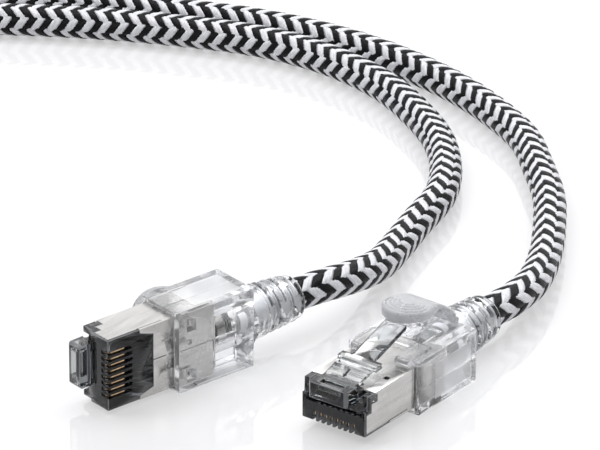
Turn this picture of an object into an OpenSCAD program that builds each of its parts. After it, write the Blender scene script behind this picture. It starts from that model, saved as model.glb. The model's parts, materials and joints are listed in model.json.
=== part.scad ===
// Shielded eight-contact patch cable with a snagless clear boot on each plug.
// Every plug is drawn in its own frame: X points the way the plug is inserted and is zero at the
// boot's front face, Y runs across the contacts, Z rises from the boot's contact side to the latch.
// The whole part stands on Z = 0 with its origin under the boot of plug B.

/* [Plug body] */
// Width of the plug across the contacts
plug_w = 11.68; // [11.58:0.02:11.78]
// Height of the plug body from the contact side to the shell's top
plug_h = 6.54; // [6.4:0.02:6.6]
// Height of the latch root above the contact side
root_h = 7.35; // [7.3:0.05:7.5]
// Reach of the contact comb in front of the boot
nose_x = 12.45; // [12:0.05:13]
// Reach of the latch root in front of the boot
root_x = 14.1; // [14:0.1:14.5]
// Length of the plug hidden in the boot
plug_tail = 7.2; // [6.8:0.1:7.4]
// Sheet thickness of the metal shell
shell_t = 0.25; // [0.2:0.01:0.3]

/* [Contacts] */
// Distance between neighbouring contacts
contact_pitch = 1.02; // [1.0:0.01:1.04]
// Thickness of a contact blade
contact_t = 0.35; // [0.3:0.01:0.36]
// Radius of an insulated conductor
wire_r = 0.38; // [0.34:0.01:0.39]

/* [Latch and guard] */
// Width of the latch plate next to its root
latch_plate_w = 6.2; // [6:0.1:6.4]
// Width of the latch across its locking shoulders
latch_shoulder_w = 7.2; // [7:0.1:7.4]
// Width of the latch tongue
tongue_w = 3.8; // [3.2:0.1:4]
// Width of the guard's arched strap
guard_w = 6.4; // [5.8:0.1:6.6]
// Radius of the guard's round thumb pad
pad_r = 4.0; // [3.6:0.1:4.2]

/* [Boot] */
// Width of the boot
boot_w = 13.1; // [13:0.1:13.4]
// Height of the boot from the contact side to the latch side
boot_h = 8.75; // [8.7:0.05:9]
// Length of the boot's rectangular body
boot_l = 14.6; // [14.4:0.1:14.7]
// Height of the plug's contact side above the boot's outer face
plug_lift = 1.3; // [1.2:0.05:1.4]
// Radius of the boot's round neck
neck_r = 4.2; // [4.1:0.05:4.3]

/* [Strain relief] */
// Distance from the boot's front face to the sleeve's open end
sleeve_end = 25.3; // [25.2:0.1:27]
// Number of slotted rings cut into the sleeve
sleeve_slots = 5; // [4:1:5]

/* [Cable] */
// Outer diameter of the braided cable
cable_d = 5.2; // [5.1:0.05:5.3]
// Distance between neighbouring turns of the coil
turn_pitch = 5.25; // [5.2:0.01:5.3]

/* [Hidden] */
$fn = 64;
ENDS = ["a", "b"];
PAIRS = ["orange", "green", "blue", "brown"];
PAIR_PINS = [[1, 2], [3, 6], [4, 5], [7, 8]];
PAIR_COLOURS = ["darkorange", "seagreen", "royalblue", "saddlebrown"];
PLUG_PARTS = concat(
    ["plug_housing", "latch", "shield_shell"],
    [for (i = [1:8]) str("contact_", i)],
    ["load_bar"],
    [for (p = PAIRS) str("wire_pair_", p)],
    ["cable_jacket", "shield_braid", "cable_clamp"],
    ["boot_lower", "boot_upper", "strain_relief", "latch_guard"]
);
CORD_PARTS = ["cable_a", "cable_coil", "cable_b", "coil_tie"];

// Clearance between fixed pieces that lie face to face
fit = 0.03;
// Overshoot of a cutting shape past the face that it opens
over = 1;

// Place of plug B along X, and of plug A, which lies on its side
plug_b_x = 5;
plug_a_pos = [20.9, -26.2, boot_w / 2];
plug_a_yaw = -13.6;

// Plug body
plug_bottom = plug_lift;
plug_top = plug_lift + plug_h;
half_w = plug_w / 2;
shell_front = 12.1;
smooth_x = 3.8;
comb_back = 7.8;
comb_top = plug_bottom + 1.6;
slot_w = 0.6;
channel_z = 4.7;
channel_r = wire_r + 0.05;
blade_back = 8.6;
blade_front = 12.1;
blade_bottom = plug_bottom + 0.35;
bar_back = -1.6;
bar_front = 2.3;

// Latch root block and latch hinge
root_w = 7.2;
root_bevel = 0.4;
root_top = plug_lift + root_h;
root_bottom = plug_lift + 4.7;
hinge_x = 11.2;
hinge_z = root_top - 0.4;
hinge_r = 0.36;
hinge_gap = 0.05;

// Guard: a ring sector that hinges on the boot's rear edge and ends in a domed pad
arch_x = -4.6;
arch_z = 2.68;
arch_r = 12.12;
arch_t = 1.3;
guard_hinge_x = -14.0;
guard_hinge_z = 9.25;
guard_hinge_r = 0.55;
pad_x = -6.1;
pad_bottom = 12.75;
pad_top = 14.95;
dome_r = 10;

// Boot
parting_z = 3.95;
parting_gap = 0.02;
axis_z = 4.4;
pocket_gap = 0.1;
cavity_r = 3.5;
neck_end = 17.9;
neck_fillet = 2.3;
channel_w = 5.8;
edge = 0.5;

// Sleeve and cable end
jacket_r = 2.3;
jacket_bore = 1.9;
jacket_front = 7.45;
braid_r = 2.75;
clamp_r = 3.2;
sleeve_bore = 2.34;
sleeve_r1 = 4.15;
sleeve_r2 = 3.55;
sleeve_pitch = 1.4;
sleeve_slot = 0.56;
flange_back = 15.3;

// Coil: turns of the cable on the floor, and a last part turn in the groove between two of them
coil_centre = [-65, -178];
coil_start = 36.97;
outer_turn_r = 34.2;
tie_w = 10;

// Route of the cable from each plug to the coil, on the centre line
ROUTE_A = [
    [-11, -23, 6.4], [-18, -22.6, 5.2], [-26, -23.8, 3.6], [-33.9, -26.4, 2.6], [-42.9, -29, 2.6],
    [-52.3, -31.6, 2.6], [-60.4, -36.4, 2.6], [-67.8, -43.2, 2.6], [-73.5, -51.5, 2.6], [-78, -60.5, 2.6],
    [-80.5, -70, 2.6], [-81, -79.5, 2.6], [-79.5, -89, 2.6], [-76, -98.5, 2.6], [-72, -107.5, 2.6],
    [-67.3, -116.4, 2.6], [-62, -125, 2.6], [-56.3, -132.8, 2.6], [-50.3, -140.7, 2.6],
    [-44.2, -148.8, 2.6]
];
ROUTE_B = [
    [-28, 0, 4.2], [-36, -2, 3.4], [-45, -6.3, 2.7], [-53.5, -11.6, 2.6], [-62, -17.8, 2.6],
    [-69.5, -25.2, 2.6], [-76.5, -33, 2.6], [-81.5, -42.5, 2.6], [-85, -52.5, 2.6], [-87, -63, 2.6],
    [-87.6, -73.5, 2.6], [-86.6, -84, 2.6], [-84, -94.5, 2.6], [-80, -104.5, 2.6], [-76, -115, 2.6],
    [-71.6, -123.5, 2.6], [-67.6, -131, 3.2], [-65.4, -138, 5.3], [-65.8, -145, 7.7],
    [-68.6, -151.3, 8.3], [-73.2, -156.4, 8.1]
];

// ---- Placing and small helpers ----

// Puts a plug's own frame where that plug lies
module at_end(end) {
    if (end == "b") translate([plug_b_x, 0, 0]) children();
    else translate(plug_a_pos) rotate([0, 0, plug_a_yaw]) rotate([90, 0, 0]) children();
}

// The same transform for a single point
function end_point(end, p) = end == "b"
    ? [p.x + plug_b_x, p.y, p.z]
    : plug_a_pos + [
        cos(plug_a_yaw) * p.x + sin(plug_a_yaw) * p.z,
        sin(plug_a_yaw) * p.x - cos(plug_a_yaw) * p.z,
        p.y
      ];

// Distance of contact i from the middle of the plug
function contact_y(i) = (i - 4.5) * contact_pitch;

// A box from its lowest to its highest corner
module span(low, high) { translate(low) cube(high - low); }

// A box that is symmetric about the plug's middle plane
module mid_span(x0, x1, w, z0, z1) { span([x0, -w / 2, z0], [x1, w / 2, z1]); }

// The same child on both sides of the middle plane
module both_sides() { children(); mirror([0, 1, 0]) children(); }

// A side view in X and Z, given the width w across the plug
module side_profile(points, w) {
    translate([0, w / 2, 0]) rotate([90, 0, 0]) linear_extrude(w) polygon(points);
}

// A round bar along X, on the cable's axis unless y and z are given
module x_bar(x0, x1, r, y = 0, z = axis_z) {
    translate([x0, y, z]) rotate([0, 90, 0]) cylinder(h = x1 - x0, r = r);
}

// A round bar along Y, centred on the plug's middle plane
module y_bar(x, z, r, w) { translate([x, w / 2, z]) rotate([90, 0, 0]) cylinder(h = w, r = r); }

// A closed round tube of radius r swept through the given points
module tube(points, r, sides = 10) {
    n = len(points);
    tangents = [for (i = [0:n - 1])
        let (d = points[min(i + 1, n - 1)] - points[max(i - 1, 0)]) d / norm(d)];
    rings = [for (i = [0:n - 1])
        let (side = cross(tangents[i], [0, 0, 1]) / norm(cross(tangents[i], [0, 0, 1])),
             up = cross(side, tangents[i]))
        for (k = [0:sides - 1])
            let (a = 360 * (k + 0.5) / sides) points[i] + r * (cos(a) * side + sin(a) * up)];
    walls = [for (i = [0:n - 2], k = [0:sides - 1])
        let (j = (k + 1) % sides) [
            i * sides + k, i * sides + j, (i + 1) * sides + j, (i + 1) * sides + k
        ]];
    start_cap = [for (k = [0:sides - 1]) sides - 1 - k];
    end_cap = [for (k = [0:sides - 1]) (n - 1) * sides + k];
    polyhedron(rings, concat(walls, [start_cap, end_cap]), convexity = 6);
}

// ---- Plug body and shell ----

// Region in front of the shell's stepped edges, where the housing shows flush; g pulls it in
module exposed(g) {
    side_x = smooth_x + 2.5;
    translate([0, 0, plug_bottom - over]) linear_extrude(over + 0.45 - g) polygon([
        [smooth_x + g, -4.4], [side_x + g, -5.2], [side_x + 0.3 + g, -7], [20, -7],
        [20, 7], [side_x + 0.3 + g, 7], [side_x + g, 5.2], [smooth_x + g, 4.4]
    ]);
    mid_span(shell_front + g, 20, 14, 0, 10);
    both_sides() {
        span([10.85 + g, 5.5 + g, 4.8 + g], [20, 7, 10]);
        span([9.4 + g, 5.5 + g, 6.2 + g], [20, 7, plug_top - 0.34]);
    }
    mid_span(9.9 + g, 20, 14, plug_top - 0.34 + g, 10);
    mid_span(8.6 + g, 20, channel_w - 2 * g, plug_top - 0.34 + g, 10);
}

module shield_shell() {
    inner = half_w - shell_t;
    color("silver") difference() {
        mid_span(-plug_tail, nose_x, plug_w, plug_bottom, plug_top);
        mid_span(-plug_tail - over, nose_x + over, 2 * inner, plug_bottom + shell_t, plug_top - shell_t);
        exposed(0);
        // seam along the contact side, left joined at one bridge
        mid_span(1.4, 5, 0.14, 0, plug_bottom + shell_t + fit);
        mid_span(-plug_tail - over, 0.9, 0.14, 0, plug_bottom + shell_t + fit);
        // fold lines low on both sides, and the square spring windows in the top
        both_sides() {
            span([1.9, inner - 0.1, plug_bottom + 0.4], [6.7, 7, plug_bottom + 0.52]);
            span([4.75, 3.95, plug_top - over], [5.65, 4.85, plug_top + over]);
        }
    }
    // raised contact springs near the boot, in halves on each side of the seam
    color("silver") both_sides() intersection() {
        translate([0.9, 2.6, plug_bottom]) rotate([0, 90, 0]) cylinder(r = 0.16, h = 1.3);
        mid_span(0, 4, 14, 0, plug_bottom + shell_t / 2);
    }
}

// Pockets for the eight blades and bores for the eight conductors
module comb_cuts() {
    for (i = [1:8]) translate([0, contact_y(i), 0]) {
        mid_span(comb_back, nose_x + over, slot_w, 0, comb_top);
        mid_span(blade_back - 0.02, blade_front + 0.02, contact_t + 0.02, comb_top - over, channel_z);
        x_bar(bar_front - over, 10.8, channel_r, 0, channel_z);
    }
}

module root_block() {
    half = root_w / 2;
    difference() {
        translate([0, 0, root_bottom]) linear_extrude(root_top - root_bottom) polygon([
            [9.8, -half], [root_x - root_bevel, -half], [root_x, root_bevel - half],
            [root_x, half - root_bevel], [root_x - root_bevel, half], [9.8, half]
        ]);
        // pocket in the top of the root
        mid_span(11.8, 13.2, 4.1, root_top - 1.3, root_top + over);
        // seat of the latch's hinge, and room for the latch behind it
        y_bar(hinge_x, hinge_z, hinge_r + hinge_gap, root_w + over);
        mid_span(9, hinge_x, root_w + over, plug_top, root_top + over);
    }
}

module plug_housing() {
    inner_w = plug_w - 2 * shell_t - 2 * fit;
    inner_bottom = plug_bottom + shell_t + fit;
    inner_top = plug_top - shell_t - fit;
    recess_x = 11.9;
    color([0.25, 0.27, 0.3, 0.75]) difference() {
        union() {
            mid_span(0.3 - plug_tail, shell_front, inner_w, inner_bottom, inner_top);
            intersection() {
                mid_span(0, nose_x, plug_w, plug_bottom, plug_top);
                exposed(fit);
            }
            root_block();
        }
        // stepped front face above the comb, clear of the root block
        difference() {
            union() {
                mid_span(recess_x, nose_x + over, 10.3, plug_bottom + 3.1, plug_top + over);
                mid_span(recess_x, nose_x + over, 14, plug_bottom + 4.1, plug_top + over);
            }
            mid_span(recess_x - over, root_x + over, root_w, root_bottom, plug_top + 2 * over);
        }
        both_sides() span([10.2, root_w / 2, plug_top - 1.2], [nose_x, 4.8, plug_top + over]);
        comb_cuts();
        // wire chamber behind the conductor bores
        mid_span(-plug_tail, bar_front + 0.1, 9.8, 2.6, 6.8);
    }
}

module contact(i) {
    tip = channel_z - wire_r - 0.05;
    points = [
        [blade_back, comb_top], [blade_back + 0.5, blade_bottom], [blade_front - 0.5, blade_bottom],
        [blade_front, comb_top - 0.7], [blade_front, comb_top], [10.9, comb_top],
        [10.6, tip], [10.3, comb_top + 0.4], [9.9, comb_top + 0.4], [9.6, tip], [9.3, comb_top]
    ];
    color("gold") translate([0, contact_y(i), 0]) side_profile(points, contact_t);
}

module load_bar() {
    color("whitesmoke") difference() {
        mid_span(bar_back, bar_front, 9.6, 3.6, 5.9);
        for (i = [1:8]) x_bar(bar_back - over, bar_front + over, channel_r, contact_y(i), channel_z);
    }
}

// Two conductors: straight in the comb, spread from the round cable behind it
module wire_pair(k) {
    fan_x = bar_back - 0.3;
    for (i = PAIR_PINS[k]) {
        column = floor((i - 1) / 2) - 1.5;
        row = (i % 2 == 0) ? 1 : -1;
        entry = [-jacket_front, column * 0.82, axis_z + row * 0.8];
        color(PAIR_COLOURS[k]) tube([
            [10.7, contact_y(i), channel_z], [fan_x, contact_y(i), channel_z],
            entry, [0.2 - sleeve_end, entry.y, entry.z]
        ], wire_r);
    }
}

module latch() {
    tip_x = -3.1;
    tip_z = 12.45;
    plate = [
        [hinge_x, hinge_z + hinge_r], [hinge_x - 0.6, hinge_z + hinge_r], [6.6, 9.85], [5.3, 9.95],
        [5.3, 9.2], [6.6, 9.1], [hinge_x - 0.5, hinge_z - 0.15], [hinge_x, hinge_z - hinge_r]
    ];
    shoulder = [[6.7, 9.85], [6.5, 10.0], [5.3, 10.05], [5.3, 9.2], [6.7, 9.1]];
    tongue = [[5.5, 9.95], [tip_x, tip_z], [tip_x, tip_z - 0.7], [5.5, 9.2]];
    color([0.3, 0.32, 0.35, 0.7]) union() {
        y_bar(hinge_x, hinge_z, hinge_r, latch_plate_w);
        side_profile(plate, latch_plate_w);
        side_profile(shoulder, latch_shoulder_w);
        side_profile(tongue, tongue_w);
    }
}

// ---- Boot, guard and sleeve ----

// Outer form shared by both halves: bevelled box, round neck and the fillet between them
module boot_form() {
    side = boot_w / 2;
    box_points = [
        [edge - side, 0], [side - edge, 0], [side, edge], [side, boot_h - edge],
        [side - edge, boot_h], [edge - side, boot_h], [-side, boot_h - edge], [-side, edge]
    ];
    intersection() {
        translate([-boot_l, 0, 0]) rotate([90, 0, 90]) linear_extrude(boot_l) polygon(box_points);
        translate([0, 0, -over]) linear_extrude(boot_h + 2 * over) polygon([
            [0, edge - side], [0, side - edge], [-edge, side], [0.8 - boot_l, side],
            [-boot_l, side - 0.8], [-boot_l, 0.8 - side], [0.8 - boot_l, -side], [-edge, -side]
        ]);
    }
    x_bar(-neck_end, -boot_l + over, neck_r);
    intersection() {
        translate([-boot_l - neck_fillet, 0, axis_z]) rotate([0, 90, 0]) rotate_extrude()
            difference() {
                translate([neck_r - over, 0]) square([neck_fillet + over, neck_fillet + 0.2]);
                translate([neck_r + neck_fillet, 0]) circle(r = neck_fillet);
            }
        mid_span(-neck_end, over - boot_l, boot_w - 2 * edge, 0, boot_h);
    }
}

module boot_cavity() {
    pocket_w = plug_w + 2 * pocket_gap;
    mid_span(-plug_tail - pocket_gap, over, pocket_w, plug_bottom - pocket_gap, plug_top + pocket_gap);
    x_bar(-flange_back - fit, -plug_tail, cavity_r);
    x_bar(-neck_end - over, -flange_back, 3.1 + fit);
}

module boot_lower() {
    color([0.92, 0.94, 0.96, 0.45]) difference() {
        intersection() {
            boot_form();
            mid_span(-20, over, 20, -over, parting_z - parting_gap);
        }
        boot_cavity();
        // two square latch windows and a round locating hole in the contact side
        both_sides() span([-3.15, 3.45, -over], [-1.75, 4.95, 2]);
        translate([-2.1, 1.5, -over]) cylinder(r = 0.45, h = over + 0.6);
        // shallow rectangular panel, open over the cable clamp
        mid_span(-11.05, -6.95, 8.6, -over, 0.3);
        span([-11.0, 0.2, -over], [-7.0, 4.1, 3]);
    }
}

module boot_upper() {
    deck = plug_top + pocket_gap;
    color([0.92, 0.94, 0.96, 0.45]) difference() {
        union() {
            intersection() {
                boot_form();
                mid_span(-20, over, 20, parting_z + parting_gap, boot_h + over);
            }
            // lugs beside the latch, with a rounded front over the shell
            both_sides() {
                span([-4.8, 2.9, deck], [0.6, 5.3, boot_h + 0.5]);
                translate([0.6, 5.3, (deck + boot_h + 0.5) / 2]) rotate([90, 0, 0])
                    cylinder(r = (boot_h + 0.5 - deck) / 2, h = 2.4);
            }
        }
        boot_cavity();
        // latch channel, crossed by one bar, with a closed floor behind the shell
        mid_span(-4.6, over, channel_w, deck - 0.3, boot_h + over);
        mid_span(-plug_tail - pocket_gap, -5.4, channel_w, deck - 0.3, boot_h + over);
        mid_span(-10.6, -7, channel_w, 8.25, boot_h + over);
        // seat of the guard's hinge
        y_bar(guard_hinge_x, guard_hinge_z, guard_hinge_r + hinge_gap, guard_w + 0.2);
    }
}

module latch_guard() {
    color([0.85, 0.87, 0.9, 0.6]) union() {
        y_bar(guard_hinge_x, guard_hinge_z, guard_hinge_r, guard_w);
        // arched strap
        intersection() {
            difference() {
                y_bar(arch_x, arch_z, arch_r, guard_w);
                y_bar(arch_x, arch_z, arch_r - arch_t, guard_w + over);
            }
            mid_span(-20, arch_x, 20, guard_hinge_z, 20);
        }
        // domed thumb pad
        intersection() {
            translate([pad_x, 0, pad_bottom]) cylinder(r = pad_r, h = pad_top - pad_bottom);
            translate([pad_x, 0, pad_top - dome_r]) sphere(r = dome_r);
        }
    }
}

module strain_relief() {
    first_slot = neck_end + 0.8;
    color([0.9, 0.92, 0.95, 0.5]) difference() {
        union() {
            translate([-sleeve_end, 0, axis_z]) rotate([0, 90, 0]) rotate_extrude() polygon([
                [0, 0], [sleeve_r2 - 0.3, 0], [sleeve_r2, 0.3],
                [sleeve_r1, sleeve_end - neck_end - fit], [0, sleeve_end - neck_end - fit]
            ]);
            x_bar(-neck_end - over, -flange_back, 3.1);
            x_bar(-flange_back, -flange_back + over, cavity_r - pocket_gap);
        }
        x_bar(-sleeve_end - over, -flange_back + 2 * over, sleeve_bore);
        // ring slots, each broken by two bridges, turned a quarter from one to the next
        for (k = [0:sleeve_slots - 1], half = [0, 180])
            translate([-first_slot - k * sleeve_pitch - sleeve_slot, 0, axis_z])
                rotate([0, 90, 0]) rotate([0, 0, 90 * (k % 2) + half + 25])
                rotate_extrude(angle = 130) translate([2.75, 0]) square([3, sleeve_slot]);
    }
}

// ---- Cable end inside the boot ----

module cable_jacket() {
    color("gainsboro") difference() {
        x_bar(-sleeve_end, -jacket_front, jacket_r);
        x_bar(0.15 - sleeve_end, -jacket_front + over, jacket_bore);
    }
}

module shield_braid() {
    color("dimgray") difference() {
        x_bar(-12.8, -jacket_front - 0.1, braid_r);
        x_bar(-13, 0, jacket_r + 0.02);
    }
}

module cable_clamp() {
    color("silver") difference() {
        x_bar(-10.0, -8.4, clamp_r);
        x_bar(-11, -7, braid_r + 0.03);
        mid_span(-11, -7, 1.0, axis_z, 10);
    }
}

// ---- Cable ----

// Centre line of the cable between a plug's sleeve and the coil
function cable_points(end) = concat(
    [end_point(end, [-sleeve_end, 0, axis_z]), end_point(end, [-sleeve_end - 3, 0, axis_z])],
    end == "a" ? ROUTE_A : ROUTE_B,
    [coil_point(end == "a" ? 0 : 3.75)]
);

// Centre of the cable after t turns: a flat spiral, then up and over into the groove beside it
function coil_point(t) =
    let (
        lap = max(t - 3, 0),
        climb = min(lap / 0.5, 1),
        roll = 120 * climb * climb * (3 - 2 * climb),
        flat_r = outer_turn_r - turn_pitch * (t > 3 ? t - 1 : t),
        r = t > 3 ? flat_r - turn_pitch * cos(roll) : flat_r,
        a = coil_start - 360 * t
    )
    [coil_centre.x + r * cos(a), coil_centre.y + r * sin(a), cable_d / 2 + turn_pitch * sin(roll)];

module cable(end) { color("dimgray") tube(cable_points(end), cable_d / 2); }

// Outer form of all the coil's turns
module cable_coil() {
    r_in = 16.4;
    r_out = outer_turn_r + cable_d / 2;
    color("dimgray") translate([coil_centre.x, coil_centre.y, 0]) rotate_extrude($fn = 96) polygon([
        [r_in + 0.8, 0], [r_out - 0.8, 0], [r_out, 1.2], [r_out, 4], [r_out - 1.2, cable_d],
        [29.4, cable_d + 0.2], [28.4, 8.6], [26.6, 9.8], [21.8, 9.8], [20, 8.6],
        [19, cable_d + 0.2], [r_in + 1.2, cable_d], [r_in, 4], [r_in, 1.2]
    ]);
}

// Hook-and-loop strap round the coil's turns, on the side away from the plugs
module coil_tie() {
    r_in = 16.3;
    r_out = outer_turn_r + cable_d / 2 + 0.1;
    t = 0.8;
    outer = [
        [r_in - t, 0], [r_out + t, 0], [r_out + t, 4.7], [27.3, 10.7], [21.2, 10.7], [r_in - t, 4.7]
    ];
    inner = [[r_in, 0.7], [r_out, 0.7], [r_out, 4.2], [27, 9.9], [21.6, 9.9], [r_in, 4.2]];
    color("black") translate([coil_centre.x, coil_centre.y, 0]) rotate([0, 0, coil_start - 90])
        difference() {
            side_profile(outer, tie_w);
            side_profile(inner, tie_w + over);
        }
}

// ---- Drawing ----

for (end = ENDS) {
    at_end(end) plug_housing();
    at_end(end) latch();
    at_end(end) shield_shell();
    for (i = [1:8])
        at_end(end) contact(i);
    at_end(end) load_bar();
    for (k = [0:3])
        at_end(end) wire_pair(k);
    at_end(end) cable_jacket();
    at_end(end) shield_braid();
    at_end(end) cable_clamp();
    at_end(end) boot_lower();
    at_end(end) boot_upper();
    at_end(end) strain_relief();
    at_end(end) latch_guard();
    cable(end);
}
cable_coil();
coil_tie();
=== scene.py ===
"""Looks of a braided ethernet patch cable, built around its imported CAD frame.

Lengths are metres in the row frame. Plug shapes are written in millimetres in the plug's own frame:
X points the way the plug is inserted, Y runs across the contacts, Z rises to the latch side.
"""

import json
import math

import bmesh
import bpy
import numpy as np
from mathutils import Matrix, Vector

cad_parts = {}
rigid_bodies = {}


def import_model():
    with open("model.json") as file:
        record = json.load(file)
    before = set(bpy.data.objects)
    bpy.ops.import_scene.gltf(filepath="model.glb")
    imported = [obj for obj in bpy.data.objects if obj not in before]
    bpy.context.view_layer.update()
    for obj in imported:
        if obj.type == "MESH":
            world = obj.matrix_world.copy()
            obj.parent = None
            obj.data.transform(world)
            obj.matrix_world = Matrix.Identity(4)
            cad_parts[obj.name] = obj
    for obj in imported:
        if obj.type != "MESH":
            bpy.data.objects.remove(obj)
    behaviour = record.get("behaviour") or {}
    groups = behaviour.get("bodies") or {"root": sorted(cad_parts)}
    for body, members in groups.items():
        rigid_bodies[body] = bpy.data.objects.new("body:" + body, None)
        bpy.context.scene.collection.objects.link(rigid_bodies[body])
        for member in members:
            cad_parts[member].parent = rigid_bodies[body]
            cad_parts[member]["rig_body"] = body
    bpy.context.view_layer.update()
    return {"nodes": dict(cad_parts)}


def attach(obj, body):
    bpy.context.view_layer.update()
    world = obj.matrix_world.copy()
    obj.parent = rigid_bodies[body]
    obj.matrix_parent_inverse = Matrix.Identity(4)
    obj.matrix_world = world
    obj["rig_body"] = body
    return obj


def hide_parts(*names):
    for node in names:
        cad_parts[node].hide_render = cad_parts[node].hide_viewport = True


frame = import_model()

MM = 0.001
ENDS = ("a", "b")
BODY = "cable_body"

# ---- Places shared with the CAD source ----

PLUG = {
    "a": Matrix.Translation((0.0209, -0.0262, 0.00655))
    @ Matrix.Rotation(math.radians(-13.6), 4, "Z")
    @ Matrix.Rotation(math.radians(90), 4, "X"),
    "b": Matrix.Translation((0.005, 0, 0)),
}
CABLE_AXIS_Z = 4.4
SLEEVE_END = 25.3
CABLE_R = 0.0026
COIL_CENTRE = Vector((-0.065, -0.178, 0))
COIL_START = math.radians(36.97)
OUTER_TURN_R = 0.0342
TURN_PITCH = 0.00525
FLAT_TURNS = 3
TURNS = 3.75

# The cable's route from each plug's sleeve to the coil
ROUTE_A = [
    (-.011, -.023, .0064), (-.018, -.0226, .0052), (-.026, -.0238, .0036), (-.0339, -.0264, .0026),
    (-.0429, -.029, .0026), (-.0523, -.0316, .0026), (-.0604, -.0364, .0026), (-.0678, -.0432, .0026),
    (-.0735, -.0515, .0026), (-.078, -.0605, .0026), (-.0805, -.07, .0026), (-.081, -.0795, .0026),
    (-.0795, -.089, .0026), (-.076, -.0985, .0026), (-.072, -.1075, .0026), (-.0673, -.1164, .0026),
    (-.062, -.125, .0026), (-.0563, -.1328, .0026), (-.0503, -.1407, .0026), (-.0442, -.1488, .0026),
]
ROUTE_B = [
    (-.028, 0, .0042), (-.036, -.002, .0034), (-.045, -.0063, .0027), (-.0535, -.0116, .0026),
    (-.062, -.0178, .0026), (-.0695, -.0252, .0026), (-.0765, -.033, .0026), (-.0815, -.0425, .0026),
    (-.085, -.0525, .0026), (-.087, -.063, .0026), (-.0876, -.0735, .0026), (-.0866, -.084, .0026),
    (-.084, -.0945, .0026), (-.08, -.1045, .0026), (-.076, -.115, .0026), (-.0716, -.1235, .0026),
    (-.0676, -.131, .0032), (-.0654, -.138, .0053), (-.0658, -.145, .0077), (-.0686, -.1513, .0083),
    (-.0732, -.1564, .0081),
]


def smooth(t):
    """Rises from 0 to 1 as t does, level at both ends; t is a number or an array."""
    t = np.clip(t, 0, 1)
    return t * t * (3 - 2 * t)


def plug_point(end, x, y, z):
    """A point of a plug's own frame, given in millimetres, in the row frame."""
    return PLUG[end] @ Vector((x * MM, y * MM, z * MM))


# ---- Camera ----

VIEW_TARGET = Vector((-0.03526, -0.04589, 0))
VIEW_ELEVATION = math.radians(26.485)
VIEW_SIDE = Vector((0.79893, 0.60142, 0))
VIEW_DISTANCE = 1.5
LENS = 582.3


def make_camera():
    """A long lens above and in front of the plugs, with the coil out of the picture."""
    data = bpy.data.cameras.new("camera")
    data.sensor_width = 36
    data.lens = LENS
    data.clip_end = 20
    camera = bpy.data.objects.new("camera", data)
    bpy.context.scene.collection.objects.link(camera)
    back = VIEW_SIDE.normalized() * math.cos(VIEW_ELEVATION)
    back.z = math.sin(VIEW_ELEVATION)
    camera.location = VIEW_TARGET + back * VIEW_DISTANCE
    camera.rotation_euler = (-back).to_track_quat("-Z", "Y").to_euler()
    bpy.context.scene.camera = camera


make_camera()

# ---- Material helpers ----


def new_material(name, base, **sockets):
    """A Principled material; sockets gives its uniform values by the sockets' names, _ for a space."""
    material = bpy.data.materials.new(name)
    material.use_nodes = True
    shader = material.node_tree.nodes["Principled BSDF"]
    shader.inputs["Base Color"].default_value = (*base, 1)
    for key, value in sockets.items():
        shader.inputs[key.replace("_", " ")].default_value = value
    return material


def add_node(material, kind, **values):
    """A node of that kind; values sets its properties, or its inputs where it has no such property."""
    node = material.node_tree.nodes.new(kind)
    for key, value in values.items():
        if hasattr(node, key):
            setattr(node, key, value)
        else:
            node.inputs[key.replace("_", " ")].default_value = value
    return node


def link(material, source, target):
    material.node_tree.links.new(source, target)


def principled(material):
    return material.node_tree.nodes["Principled BSDF"]


def ramp(material, factor, stops):
    """Colour ramp over a factor; stops are (position, grey or colour)."""
    node = add_node(material, "ShaderNodeValToRGB")
    elements = node.color_ramp.elements
    while len(elements) < len(stops):
        elements.new(0.5)
    for element, (position, value) in zip(elements, stops):
        colour = (value,) * 3 if isinstance(value, (int, float)) else value
        element.position = position
        element.color = (*colour, 1)
    link(material, factor, node.inputs["Fac"])
    return node.outputs["Color"]


def object_noise(material, scale, detail, stretch=(1, 1, 1)):
    """Noise over the object's own coordinates, stretched along its axes."""
    place = add_node(material, "ShaderNodeTexCoord")
    turn = add_node(material, "ShaderNodeMapping", Scale=stretch)
    noise = add_node(material, "ShaderNodeTexNoise", Scale=scale, Detail=detail, Roughness=0.55)
    link(material, place.outputs["Object"], turn.inputs["Vector"])
    link(material, turn.outputs["Vector"], noise.inputs["Vector"])
    return noise.outputs["Fac"]


def bump(material, height, strength, distance):
    node = add_node(material, "ShaderNodeBump", Strength=strength, Distance=distance)
    link(material, height, node.inputs["Height"])
    link(material, node.outputs["Normal"], principled(material).inputs["Normal"])


def lets_light_through(material, tint):
    """Shadow rays pass straight through, so that clear plastic doesn't black out what is behind it."""
    tree = material.node_tree
    path = add_node(material, "ShaderNodeLightPath")
    clear = add_node(material, "ShaderNodeBsdfTransparent", Color=(*tint, 1))
    mix = add_node(material, "ShaderNodeMixShader")
    link(material, path.outputs["Is Shadow Ray"], mix.inputs[0])
    link(material, principled(material).outputs[0], mix.inputs[1])
    link(material, clear.outputs[0], mix.inputs[2])
    link(material, mix.outputs[0], tree.nodes["Material Output"].inputs["Surface"])


# ---- Materials ----


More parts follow.
